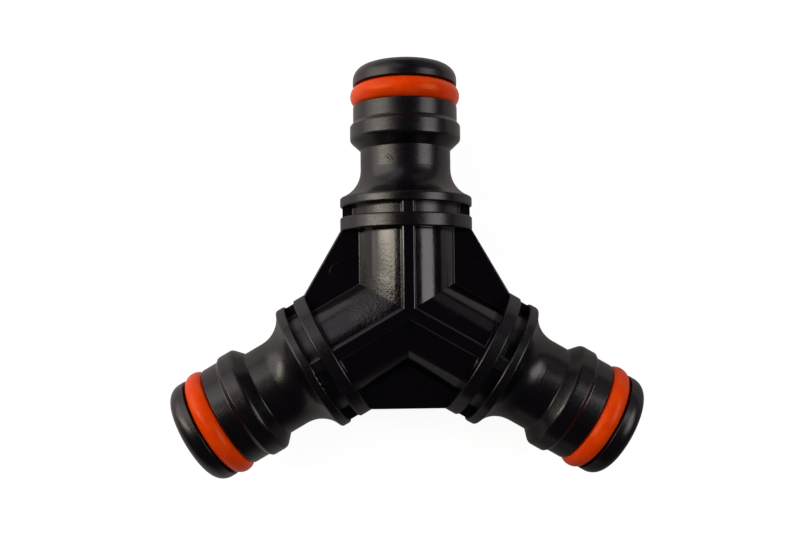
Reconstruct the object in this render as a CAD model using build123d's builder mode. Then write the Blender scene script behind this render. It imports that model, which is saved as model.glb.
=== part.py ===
from build123d import *
import math
import os

# Three-way click coupler for garden hose: one moulded Y with three identical nipples,
# each carrying an O-ring. Millimetres, +Z up. The origin is the hub centre, where the
# three waterways meet, and the Y lies flat in the XY plane with one arm along +Y.

# Arms, and the turn from each arm to the middle of the web beside it
arm_angles = {"top": 90, "left": 210, "right": 330}
web_turn = 60

# Hub: three tubes mitred together, stiffened by a web plate and by ribs
tube_radius = 7.4
web_thickness = 2.4
web_edge_distance = 15.13
web_edge_round = 0.3
web_root_reach = 8.4
rib_width = 2.0
rib_reach = 9.9
rib_edge_round = 0.4
root_round = 0.15
ejector_mark_radius = 1.6
ejector_mark_height = 0.1
ejector_mark_edge = 0.05
ejector_mark_distance = 12.0
gate_mark_radius = 0.7
gate_mark_height = 0.12

# Pair of flanges, with a gap that the web and the ribs cross
flange_radius = 10.3
hub_flange_start = 12.4
hub_flange_end = 14.52
nipple_flange_start = 16.1
gap_floor_radius = 8.35
flange_root_round = 0.12
rim_round = 0.3
outer_rim_round = 0.4

# Nipple
neck_radius = 7.05
flare_radius = 4.75
flare_end = 22.05
cone_start = 25.05
cone_angle = 47
cone_root_round = 0.3
collar_radius = 8.65
collar_shoulder_round = 0.8
collar_end = 28.75
lead_in_end = 29.35
lead_in_round = 0.3
land_radius = 8.15
land_edge_round = 0.12
cap_end = 38.2
cap_round = 2.15

# O-ring and its groove
ring_half_height = 1.5
ring_half_width = 1.62
ring_outer_radius = 8.57
ring_position = 33.53
seat_radius = 5.6
seat_start = 31.85
seat_end = 35.2

# Waterway
bore_radius = 4.4
mouth_chamfer = 0.6

# Worked out from the sizes above
plate_end = (hub_flange_start + hub_flange_end) / 2
plate_half_side = web_edge_distance - plate_end * math.cos(math.radians(web_turn))
plate_half_side = plate_half_side / math.sin(math.radians(web_turn))
cone_length = (collar_radius - neck_radius) / math.tan(math.radians(cone_angle))
flare_centre_radius = neck_radius + flare_radius
flare_start = flare_end - math.sqrt(flare_radius**2 - (flare_centre_radius - flange_radius) ** 2)
ring_centre_radius = ring_outer_radius - ring_half_height
root_start = hub_flange_start - flange_root_round
web_half = web_thickness / 2
origin = Vector(0, 0, 0)
same_radius = 0.01


def arm_direction(angle):
    """Unit vector from the hub centre out along an arm."""
    return Vector(1, 0, 0).rotate(Axis.Z, angle)


def lengthwise(angle):
    """Plane through an arm's axis: local x runs out along the arm, local y is the radius."""
    return Plane(origin=origin, x_dir=arm_direction(angle), z_dir=(0, 0, 1))


def crosswise(angle, distance):
    """Plane square to an arm at a distance from the hub centre: local y points up."""
    outward = arm_direction(angle)
    return Plane(origin=outward * distance, x_dir=arm_direction(angle + 90), z_dir=outward)


def arm_axis(angle):
    """Centre line of an arm."""
    return Axis(origin, arm_direction(angle))


def near(sketch, radius):
    """Vertices of a cross-section that lie at a given distance from the arm's axis."""
    return sketch.vertices().filter_by(lambda v: abs(math.hypot(v.X, v.Y) - radius) < same_radius)


def stiffened_section(radius, web_reach):
    """Draw a tube's cross-section with its two ribs and its two webs, rounded at their roots."""
    with BuildSketch(mode=Mode.PRIVATE) as section:
        Circle(radius)
        Rectangle(rib_width, 2 * rib_reach)
        Rectangle(2 * web_reach, web_thickness)
        fillet(near(section, radius), root_round)
        fillet(near(section, math.hypot(rib_width / 2, rib_reach)), rib_edge_round)
    return section.sketch


with BuildPart() as y_body:
    # Web plate: a hexagon whose long sides cross the gaps between the arms
    with BuildSketch(Plane.XY.offset(-web_half)):
        with BuildLine():
            corners = []
            for angle in arm_angles.values():
                outward = arm_direction(angle) * plate_end
                sideways = arm_direction(angle + 90) * plate_half_side
                corners.append(outward - sideways)
                corners.append(outward + sideways)
            Polyline(*corners, close=True)
        make_face()
    extrude(amount=web_thickness)
    fillet(y_body.faces().filter_by(Axis.Z).edges(), web_edge_round)

    for angle in arm_angles.values():
        # Hub tube with its ribs and the roots of the webs
        with BuildSketch(crosswise(angle, 0)):
            add(stiffened_section(tube_radius, web_root_reach))
        extrude(amount=hub_flange_start)
        # Flange on the hub side, rounded where it leaves the tube
        with BuildSketch(lengthwise(angle)) as hub_flange:
            with BuildLine():
                Polyline(
                    (root_start, tube_radius),
                    (root_start, 0),
                    (hub_flange_end, 0),
                    (hub_flange_end, flange_radius),
                    (hub_flange_start, flange_radius),
                    (hub_flange_start, tube_radius + flange_root_round),
                )
                RadiusArc(
                    (hub_flange_start, tube_radius + flange_root_round),
                    (root_start, tube_radius),
                    flange_root_round,
                )
            make_face()
            rim = hub_flange.vertices().group_by(Axis.Y)[-1]
            fillet(rim, rim_round)
        revolve(axis=arm_axis(angle))
        # Gap between the flanges, crossed by the ribs and the webs
        with BuildSketch(crosswise(angle, hub_flange_end)):
            add(stiffened_section(gap_floor_radius, rib_reach))
        extrude(amount=nipple_flange_start - hub_flange_end)
        # Nipple: flange, flare, neck, collar, O-ring groove and rounded cap
        with BuildSketch(lengthwise(angle)) as nipple:
            with BuildLine():
                Polyline(
                    (nipple_flange_start, 0),
                    (nipple_flange_start, flange_radius),
                    (flare_start, flange_radius),
                )
                RadiusArc((flare_start, flange_radius), (flare_end, neck_radius), -flare_radius)
                Polyline(
                    (flare_end, neck_radius),
                    (cone_start, neck_radius),
                    (cone_start + cone_length, collar_radius),
                    (collar_end, collar_radius),
                    (lead_in_end, land_radius),
                    (seat_start, land_radius),
                    (seat_start, seat_radius),
                    (seat_end, seat_radius),
                    (seat_end, land_radius),
                    (cap_end, land_radius),
                    (cap_end, 0),
                    (nipple_flange_start, 0),
                )
            make_face()
            corner_rounds = [
                (nipple_flange_start, flange_radius, rim_round),
                (flare_start, flange_radius, outer_rim_round),
                (cone_start, neck_radius, cone_root_round),
                (cone_start + cone_length, collar_radius, collar_shoulder_round),
                (collar_end, collar_radius, lead_in_round),
                (lead_in_end, land_radius, lead_in_round),
                (seat_start, land_radius, land_edge_round),
                (seat_end, land_radius, land_edge_round),
                (cap_end, land_radius, cap_round),
            ]
            for distance, radius, round_radius in corner_rounds:
                corner = nipple.vertices().sort_by_distance((distance, radius, 0))[0]
                fillet(corner, round_radius)
        revolve(axis=arm_axis(angle))

    # Waterways, opened at each mouth, once all three arms are joined
    for angle in arm_angles.values():
        with BuildSketch(lengthwise(angle)):
            with BuildLine():
                Polyline(
                    (0, 0),
                    (0, bore_radius),
                    (cap_end - mouth_chamfer, bore_radius),
                    (cap_end, bore_radius + mouth_chamfer),
                    (cap_end, 0),
                    close=True,
                )
            make_face()
        revolve(axis=arm_axis(angle), mode=Mode.SUBTRACT)

    # Low round pads that the ejector pins leave on the upper face of each web
    for angle in arm_angles.values():
        mark_centre = arm_direction(angle + web_turn) * ejector_mark_distance
        with BuildSketch(Plane.XY.offset(web_half)):
            with Locations((mark_centre.X, mark_centre.Y)):
                Circle(ejector_mark_radius)
        extrude(amount=ejector_mark_height)
        chamfer(y_body.edges(Select.LAST).group_by(Axis.Z)[-1], ejector_mark_edge)

    # Stub left by the moulding gate, under the hub where the lower ribs meet
    with BuildSketch(Plane.XY.offset(-rib_reach)):
        Circle(gate_mark_radius)
    extrude(amount=-gate_mark_height)

os.makedirs("parts", exist_ok=True)
y_body.part.label = "y_body"
export_step(y_body.part, "parts/y_body.step")

# O-rings: round cord stretched into each groove, which squeezes it wider than it is high,
# and flattened where it rests on the floor
for name, angle in arm_angles.items():
    with BuildPart() as o_ring:
        with BuildSketch(lengthwise(angle)):
            with Locations((ring_position, ring_centre_radius)):
                Ellipse(ring_half_width, ring_half_height)
            with Locations((ring_position, 0)):
                Rectangle(2 * ring_half_width, 2 * seat_radius, mode=Mode.SUBTRACT)
        revolve(axis=arm_axis(angle))
    o_ring.part.label = f"o_ring_{name}"
    export_step(o_ring.part, f"parts/o_ring_{name}.step")
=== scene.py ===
import bpy
import math
from mathutils import Matrix, Vector


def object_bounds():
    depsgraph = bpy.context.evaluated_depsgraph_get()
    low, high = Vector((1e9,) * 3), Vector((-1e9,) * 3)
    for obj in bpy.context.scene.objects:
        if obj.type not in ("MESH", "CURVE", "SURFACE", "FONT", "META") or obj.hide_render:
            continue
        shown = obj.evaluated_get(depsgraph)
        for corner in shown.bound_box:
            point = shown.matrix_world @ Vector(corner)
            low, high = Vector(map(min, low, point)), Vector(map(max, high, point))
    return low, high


# A three-way click coupler: a black moulded Y with an orange O-ring on each nipple.
# It lies on a pale floor and is seen from above. Objects are in metres, in the CAD frame:
# +Z up, origin at the hub centre, one arm along +Y. Materials are laid out in millimetres.

MM = 0.001
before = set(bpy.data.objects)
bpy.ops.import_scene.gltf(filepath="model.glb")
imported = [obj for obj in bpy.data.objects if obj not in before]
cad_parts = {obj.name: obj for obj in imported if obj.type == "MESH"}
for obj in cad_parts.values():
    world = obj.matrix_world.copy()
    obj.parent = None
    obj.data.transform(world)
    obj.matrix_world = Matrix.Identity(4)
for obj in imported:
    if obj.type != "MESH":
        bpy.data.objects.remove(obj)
cad_low, cad_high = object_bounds()
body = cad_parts["y_body"]
rings = [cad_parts[name] for name in ("o_ring_top", "o_ring_left", "o_ring_right")]

# Places on the moulding, in millimetres out along an arm
ARM_ANGLES = (90, 210, 330)
HUB_END = 12.4
CAP_START = 35.2


def arm_direction(angle):
    """Unit vector from the hub centre out along an arm."""
    return Vector((math.cos(math.radians(angle)), math.sin(math.radians(angle)), 0))


# ---------------------------------------------------------------- camera

CAMERA_PLACE = Vector((-4.55, 1.81, 129.9)) * MM
CAMERA_TARGET = Vector((-1.04, 5.91, 0)) * MM
CAMERA_ROLL = -0.64
CAMERA_LENS = 37.4
CAMERA_SENSOR = 36
NEAREST, FARTHEST = 0.005, 20


def make_camera():
    """Camera straight above the Y, a little to one side, with the top arm pointing up."""
    camera = bpy.data.objects.new("camera", bpy.data.cameras.new("camera"))
    bpy.context.scene.collection.objects.link(camera)
    forward = (CAMERA_TARGET - CAMERA_PLACE).normalized()
    right = forward.cross(Vector((0, 1, 0))).normalized()
    up = right.cross(forward)
    upright = Matrix((right, up, -forward)).transposed()
    turned = upright @ Matrix.Rotation(math.radians(CAMERA_ROLL), 3, "Z")
    camera.matrix_world = Matrix.Translation(CAMERA_PLACE) @ turned.to_4x4()
    camera.data.lens = CAMERA_LENS
    camera.data.sensor_width = CAMERA_SENSOR
    camera.data.clip_start = NEAREST
    camera.data.clip_end = FARTHEST
    bpy.context.scene.camera = camera


# ---------------------------------------------------------------- node helpers

SPECK_CORE = 0.6
BUMP_UNIT = 0.010 * MM


class Graph:
    """Short calls for building one node tree. An input is a number, a vector or an output."""

    def __init__(self, tree):
        self.nodes = tree.nodes
        self.links = tree.links

    def feed(self, socket, value):
        """Link another node's output into a socket, or set the socket to a value."""
        if isinstance(value, bpy.types.NodeSocket):
            self.links.new(value, socket)
        else:
            socket.default_value = value

    def add(self, kind, *inputs, **settings):
        """New node with its settings made, and its first inputs fed in order."""
        node = self.nodes.new(kind)
        for name, setting in settings.items():
            setattr(node, name, setting)
        for socket, value in zip(node.inputs, inputs):
            self.feed(socket, value)
        return node

    def millimetres(self):
        """Place in the object's own frame, which for a CAD piece is the CAD frame."""
        metres = self.add("ShaderNodeTexCoord").outputs["Object"]
        return self.vector("MULTIPLY", metres, (1 / MM, 1 / MM, 1 / MM))

    def math(self, operation, *inputs):
        return self.add("ShaderNodeMath", *inputs, operation=operation).outputs[0]

    def vector(self, operation, *inputs):
        """Vector arithmetic, which gives one number for products, lengths and distances."""
        node = self.add("ShaderNodeVectorMath", *inputs, operation=operation)
        is_number = operation in ("DOT_PRODUCT", "LENGTH", "DISTANCE")
        return node.outputs["Value" if is_number else "Vector"]

    def part(self, vector, index):
        """One number of a vector."""
        return self.add("ShaderNodeSeparateXYZ", vector).outputs[index]

    def join(self, x, y, z):
        """Vector of three numbers."""
        return self.add("ShaderNodeCombineXYZ", x, y, z).outputs[0]

    def ramp(self, value, low, high, out_low=0.0, out_high=1.0):
        """Smooth step from out_low to out_high as value goes from low to high, held at the ends."""
        inputs = (value, low, high, out_low, out_high)
        return self.add("ShaderNodeMapRange", *inputs, interpolation_type="SMOOTHSTEP").outputs[0]

    def fade(self, value, middle, width, before, after):
        """Long soft step around middle, from before to after."""
        step = self.math("TANH", self.math("DIVIDE", self.math("SUBTRACT", value, middle), width))
        return self.math("MULTIPLY_ADD", step, (after - before) / 2, (after + before) / 2)

    def mix(self, factor, a, b, colour=False):
        node = self.add("ShaderNodeMix", data_type="RGBA" if colour else "FLOAT")
        kind = "_Color" if colour else "_Float"
        by_id = {socket.identifier: socket for socket in node.inputs}
        self.feed(by_id["Factor_Float"], factor)
        self.feed(by_id["A" + kind], a)
        self.feed(by_id["B" + kind], b)
        return {socket.identifier: socket for socket in node.outputs}["Result" + kind]

    def noise(self, place, scale, detail=2.0, roughness=0.5):
        """Noise around 0.5. scale is in features to a millimetre."""
        node = self.add("ShaderNodeTexNoise")
        self.feed(node.inputs["Vector"], place)
        node.inputs["Scale"].default_value = scale
        node.inputs["Detail"].default_value = detail
        node.inputs["Roughness"].default_value = roughness
        return node.outputs["Fac"]

    def specks(self, place, spacing, radius, share):
        """1 inside sparse round specks. share is the part of the cells that hold one."""
        node = self.add("ShaderNodeTexVoronoi")
        self.feed(node.inputs["Vector"], place)
        node.inputs["Scale"].default_value = 1 / spacing
        size = radius / spacing
        spot = self.ramp(node.outputs["Distance"], size, SPECK_CORE * size)
        draw = self.add("ShaderNodeSeparateColor", node.outputs["Color"]).outputs[0]
        return self.math("MULTIPLY", spot, self.math("LESS_THAN", draw, share))

    def bump(self, height):
        """Surface detail from a height in units of BUMP_UNIT."""
        node = self.add("ShaderNodeBump")
        self.feed(node.inputs["Height"], height)
        node.inputs["Distance"].default_value = BUMP_UNIT
        node.inputs["Strength"].default_value = 1.0
        return node.outputs["Normal"]


# ---------------------------------------------------------------- lights, world and floor

SUN_WARM = (1.0, 0.90, 0.73)
WARM = (1.0, 0.91, 0.85)
NEUTRAL = (1.0, 0.935, 0.93)
COOL = (1.0, 0.93, 1.0)
LIGHT_DISTANCE = 0.60
# Watts for each square metre of an area light and each unit of its radiance
UNIT_POWER = 4

SKY_SEEN = (0.9, 0.9, 0.9, 1)
SKY_REFLECTED = (0.040, 0.033, 0.046, 1)

FLOOR_RADIUS = 3.0
FLOOR_SEGMENTS = 96
FLOOR_PAINT = (0.25, 0.25, 0.25, 1)
FLOOR_GLOW = 0.92
# Colour of the painted light that reflections see on the floor
FLOOR_REFLECTED = (1.0, 0.89, 0.86, 1)
WHITE = (1, 1, 1, 1)
# Painted shade: reflections see the floor darker near the hub, where the object shadows it, over these
# distances in millimetres
SHADE_START, SHADE_END, SHADE_DEPTH = 10, 45, 0.30


def softbox(name, azimuth, polar, half_size, radiance, colour):
    """Area light that faces the hub. azimuth is measured from +X, polar from straight above."""
    a, p = math.radians(azimuth), math.radians(polar)
    outward = Vector((math.cos(a) * math.sin(p), math.sin(a) * math.sin(p), math.cos(p)))
    light = bpy.data.lights.new(name, "AREA")
    light.shape = "RECTANGLE"
    light.size, light.size_y = 2 * half_size[0], 2 * half_size[1]
    light.energy = UNIT_POWER * light.size * light.size_y * radiance
    light.color = colour
    panel = bpy.data.objects.new(name, light)
    bpy.context.scene.collection.objects.link(panel)
    panel.visible_camera = False
    panel.location = outward * LIGHT_DISTANCE
    panel.rotation_mode = "QUATERNION"
    panel.rotation_quaternion = (-outward).to_track_quat("-Z", "Y")


def make_lights():
    """A bright strip and a wide panel on the left, weaker panels right and beyond the top arm."""
    softbox("left_wide", azimuth=159, polar=73, half_size=(0.225, 0.371), radiance=1.72, colour=WARM)
    softbox("left_strip", azimuth=171, polar=50, half_size=(0.033, 0.235), radiance=7.60, colour=SUN_WARM)
    softbox("right_wide", azimuth=2, polar=49, half_size=(0.195, 0.160), radiance=2.85, colour=NEUTRAL)
    softbox("upper_left", azimuth=123, polar=58, half_size=(0.169, 0.301), radiance=0.60, colour=COOL)
    softbox("upper_right", azimuth=53, polar=68, half_size=(0.265, 0.140), radiance=0.16, colour=COOL)


def camera_ray(g):
    """1 where the camera sees a surface itself, 0 in reflections and bounced light."""
    return g.add("ShaderNodeLightPath").outputs["Is Camera Ray"]


def make_world():
    """Pale behind the object, dim in its reflections."""
    world = bpy.data.worlds.new("studio")
    bpy.context.scene.world = world
    world.use_nodes = True
    g = Graph(world.node_tree)
    sky = g.mix(camera_ray(g), SKY_REFLECTED, SKY_SEEN, colour=True)
    g.feed(g.nodes["Background"].inputs["Color"], sky)


def floor_material():
    """White to the camera. Reflections see grey painted light, palest to the left and beyond the top arm,
    with painted shade near the hub.
    """
    material = bpy.data.materials.new("floor")
    material.use_nodes = True
    g = Graph(material.node_tree)
    g.nodes.remove(g.nodes["Principled BSDF"])
    place = g.millimetres()
    # Painted light: in reflections the floor glows brighter to the left and beyond the top arm, as if lit
    # from there
    sideways = g.fade(g.part(place, 0), middle=-20, width=30, before=0.44, after=0.060)
    lengthways = g.fade(g.part(place, 1), middle=6, width=45, before=0.0, after=0.48)
    # Painted shade: darker near the hub, where the object would shadow the floor
    shade = g.ramp(g.vector("LENGTH", place), SHADE_START, SHADE_END, SHADE_DEPTH, 1.0)
    painted_floor_light = g.math("MULTIPLY", g.math("ADD", sideways, lengthways), shade)
    reflected = g.add("ShaderNodeEmission", FLOOR_REFLECTED, painted_floor_light)
    matt = g.add("ShaderNodeBsdfDiffuse", FLOOR_PAINT)
    glow = g.add("ShaderNodeEmission", WHITE, FLOOR_GLOW)
    seen = g.add("ShaderNodeAddShader", matt.outputs[0], glow.outputs[0])
    surface = g.add("ShaderNodeMixShader", camera_ray(g), reflected.outputs[0], seen.outputs[0])
    g.feed(g.nodes["Material Output"].inputs["Surface"], surface.outputs[0])
    return material


def make_floor():
    """Round floor at the height of the object's lowest point, where the flange rims rest."""
    turns = [2 * math.pi * i / FLOOR_SEGMENTS for i in range(FLOOR_SEGMENTS)]
    rim = [(FLOOR_RADIUS * math.cos(turn), FLOOR_RADIUS * math.sin(turn), 0) for turn in turns]
    mesh = bpy.data.meshes.new("floor")
    mesh.from_pydata(rim, [], [range(FLOOR_SEGMENTS)])
    mesh.materials.append(floor_material())
    floor = bpy.data.objects.new("floor", mesh)
    floor.location.z = cad_low.z
    bpy.context.scene.collection.objects.link(floor)


# ---------------------------------------------------------------- black moulding

# Colours
HUB_BLACK = (0.0016, 0.0008, 0.0022, 1)
NIPPLE_BLACK = (0.0012, 0.0008, 0.0016, 1)
DUST_GREY = (0.20, 0.18, 0.17, 1)

# Roughness, from the lower to the higher side of its clouds, and what is added in places
HUB_ROUGHNESS = (0.135, 0.165)
NIPPLE_ROUGHNESS = (0.255, 0.31)
DUST_ROUGHNESS = 0.8
MOTTLE_ROUGHNESS = 0.08
CAP_ROUGHNESS = 0.02
CLOUD_SPAN = (0.35, 0.65)

# Heights in the bump, in units of BUMP_UNIT
PEEL_HEIGHT = 0.8
MOTTLE_HEIGHT = 10.0
PARTING_HEIGHT = 2.0
NICK_LIP_HEIGHT = 2.0
NICK_DEPTH = 7.0

# Distances from the middle of a mark, in millimetres, where it begins and where it is full
PARTING_SPAN = (0.07, 0.02)
NICK_LENGTH, NICK_WIDTH = (0.38, 0.26), (0.10, 0.02)
LIP_LENGTH, LIP_WIDTH = (0.62, 0.42), (0.50, 0.30)
STEP_HALF = 0.1
SAME_DISTANCE = 0.001

# Marks on this particular moulding, in millimetres
PATCH_CENTRE = (-5.6, 1.4, 6.0)
PATCH_SPAN = (5.2, 0.35 * 5.2)
LEFT_SIDE_SPAN = (-4.6, -6.4)
LEFT_SIDE_SHARE = 0.22
NICK_CENTRE = (-2.75, 22.9, 6.5)
NICK_DIRECTION = (0.6, -0.8, 0)
NICK_SIDE = (0.8, 0.6, 0)

# Noise is scaled across, up and out along an arm: into streaks along it, or rings round it
STREAKS = (1.0, 1.0, 0.07)
TURNED_RINGS = (0.12, 0.12, 1.0)


def arm_places(g, place):
    """Distance out along the nearest arm, and the place as across, up and out on that arm."""
    along = [g.vector("DOT_PRODUCT", place, arm_direction(angle)) for angle in ARM_ANGLES]
    out = g.math("MAXIMUM", g.math("MAXIMUM", along[0], along[1]), along[2])
    across = 0.0
    for angle, distance in zip(ARM_ANGLES, along):
        on_arm = g.math("COMPARE", distance, out, SAME_DISTANCE)
        sideways = g.vector("DOT_PRODUCT", place, arm_direction(angle + 90))
        across = g.math("MULTIPLY_ADD", on_arm, sideways, across)
    return out, g.join(across, g.part(place, 2), out)


def beyond(g, out, distance):
    """1 further out along the arm than a distance, and 0 nearer the hub."""
    return g.ramp(out, distance - STEP_HALF, distance + STEP_HALF)


def mottled(g, place):
    """1 in the patch beside the mitre of the left and top tubes, and weaker left of it."""
    patch = g.ramp(g.vector("DISTANCE", place, PATCH_CENTRE), *PATCH_SPAN)
    left_side = g.ramp(g.part(place, 0), *LEFT_SIDE_SPAN, 0.0, LEFT_SIDE_SHARE)
    return g.math("MAXIMUM", patch, left_side)


def nick_height(g, place):
    """Small nick on the upper side of the top nipple's neck, with a raised lip round it."""
    from_nick = g.vector("SUBTRACT", place, NICK_CENTRE)
    long = g.math("ABSOLUTE", g.vector("DOT_PRODUCT", from_nick, NICK_DIRECTION))
    wide = g.math("ABSOLUTE", g.vector("DOT_PRODUCT", from_nick, NICK_SIDE))
    nick = g.math("MULTIPLY", g.ramp(long, *NICK_LENGTH), g.ramp(wide, *NICK_WIDTH))
    lip = g.math("MULTIPLY", g.ramp(long, *LIP_LENGTH), g.ramp(wide, *LIP_WIDTH))
    height = g.math("MULTIPLY_ADD", lip, NICK_LIP_HEIGHT, g.math("MULTIPLY", nick, -NICK_DEPTH))
    return g.math("MULTIPLY", height, g.math("GREATER_THAN", g.part(place, 2), 0.0))


def parting_height(g, place):
    """Faint line all round where the mould halves part."""
    from_line = g.math("ABSOLUTE", g.part(place, 2))
    return g.math("MULTIPLY", g.ramp(from_line, *PARTING_SPAN), PARTING_HEIGHT)


def moulding_material():
    """Black plastic: polished on the hub, satin on the nipples."""
    material = bpy.data.materials.new("moulded_black")
    material.use_nodes = True
    g = Graph(material.node_tree)
    shader = g.nodes["Principled BSDF"]
    place = g.millimetres()
    out, arm_place = arm_places(g, place)
    nipple = beyond(g, out, HUB_END)
    patch = mottled(g, place)
    turned = g.noise(g.vector("MULTIPLY", arm_place, TURNED_RINGS), 4.5, detail=3.0, roughness=0.65)
    dust = g.math("MAXIMUM", g.specks(place, 2.3, 0.07, 0.22), g.specks(place, 0.9, 0.04, 0.10))

    black = g.mix(nipple, HUB_BLACK, NIPPLE_BLACK, colour=True)
    g.feed(shader.inputs["Base Color"], g.mix(dust, black, DUST_GREY, colour=True))

    cloud = g.noise(place, 0.35, detail=3.0)
    smear = g.noise(place, 1.6, detail=4.0, roughness=0.6)
    rough_hub = g.ramp(cloud, *CLOUD_SPAN, *HUB_ROUGHNESS)
    rough_hub = g.math("MULTIPLY_ADD", patch, MOTTLE_ROUGHNESS, rough_hub)
    rough_nipple = g.ramp(g.mix(0.5, smear, turned), *CLOUD_SPAN, *NIPPLE_ROUGHNESS)
    rough_nipple = g.math("MULTIPLY_ADD", beyond(g, out, CAP_START), CAP_ROUGHNESS, rough_nipple)
    roughness = g.mix(nipple, rough_hub, rough_nipple)
    g.feed(shader.inputs["Roughness"], g.mix(dust, roughness, DUST_ROUGHNESS))

    peel = g.noise(place, 2.2, detail=2.0, roughness=0.45)
    flow = g.noise(g.vector("MULTIPLY", arm_place, STREAKS), 2.6, detail=3.0, roughness=0.6)
    mottle = g.noise(place, 2.6, detail=3.0, roughness=0.6)
    hub_height = g.math("MULTIPLY_ADD", peel, PEEL_HEIGHT, flow)
    hub_height = g.math("MULTIPLY_ADD", g.math("MULTIPLY", patch, mottle), MOTTLE_HEIGHT, hub_height)
    grain = g.noise(place, 7.0, detail=3.0, roughness=0.6)
    height = g.mix(nipple, hub_height, g.mix(0.5, grain, turned))
    height = g.math("ADD", height, nick_height(g, place))
    height = g.math("ADD", height, parting_height(g, place))
    g.feed(shader.inputs["Normal"], g.bump(height))
    return material


# ---------------------------------------------------------------- orange O-rings

ORANGE_DEEP = (0.84, 0.049, 0.001, 1)
ORANGE_PALE = (0.92, 0.070, 0.001, 1)
ORANGE_DUST = (0.95, 0.30, 0.07, 1)
RING_ROUGHNESS = (0.24, 0.34)
RING_SPAN = (0.3, 0.7)
RING_SPECULAR = 0.26
RING_SPECULAR_TINT = (1.0, 0.62, 0.30, 1)


def ring_material():
    """Orange elastomer with a soft sheen and a little dust."""
    material = bpy.data.materials.new("o_ring_orange")
    material.use_nodes = True
    g = Graph(material.node_tree)
    shader = g.nodes["Principled BSDF"]
    place = g.millimetres()
    cloud = g.noise(place, 0.5, detail=3.0)
    grain = g.noise(place, 7.0, detail=3.0)
    dust = g.math("MAXIMUM", g.specks(place, 1.3, 0.07, 0.35), g.specks(place, 0.6, 0.035, 0.2))
    orange = g.mix(g.ramp(cloud, *RING_SPAN), ORANGE_DEEP, ORANGE_PALE, colour=True)
    g.feed(shader.inputs["Base Color"], g.mix(dust, orange, ORANGE_DUST, colour=True))
    g.feed(shader.inputs["Roughness"], g.ramp(grain, *RING_SPAN, *RING_ROUGHNESS))
    shader.inputs["Specular IOR Level"].default_value = RING_SPECULAR
    shader.inputs["Specular Tint"].default_value = RING_SPECULAR_TINT
    g.feed(shader.inputs["Normal"], g.bump(grain))
    return material


def paint(node, material):
    """Give every slot of a CAD node the same material."""
    for slot in node.material_slots:
        slot.material = material


# ---------------------------------------------------------------- build

make_camera()
make_lights()
make_world()
make_floor()
paint(body, moulding_material())
orange_rubber = ring_material()
for ring in rings:
    paint(ring, orange_rubber)

bpy.context.scene.view_settings.view_transform = "Standard"
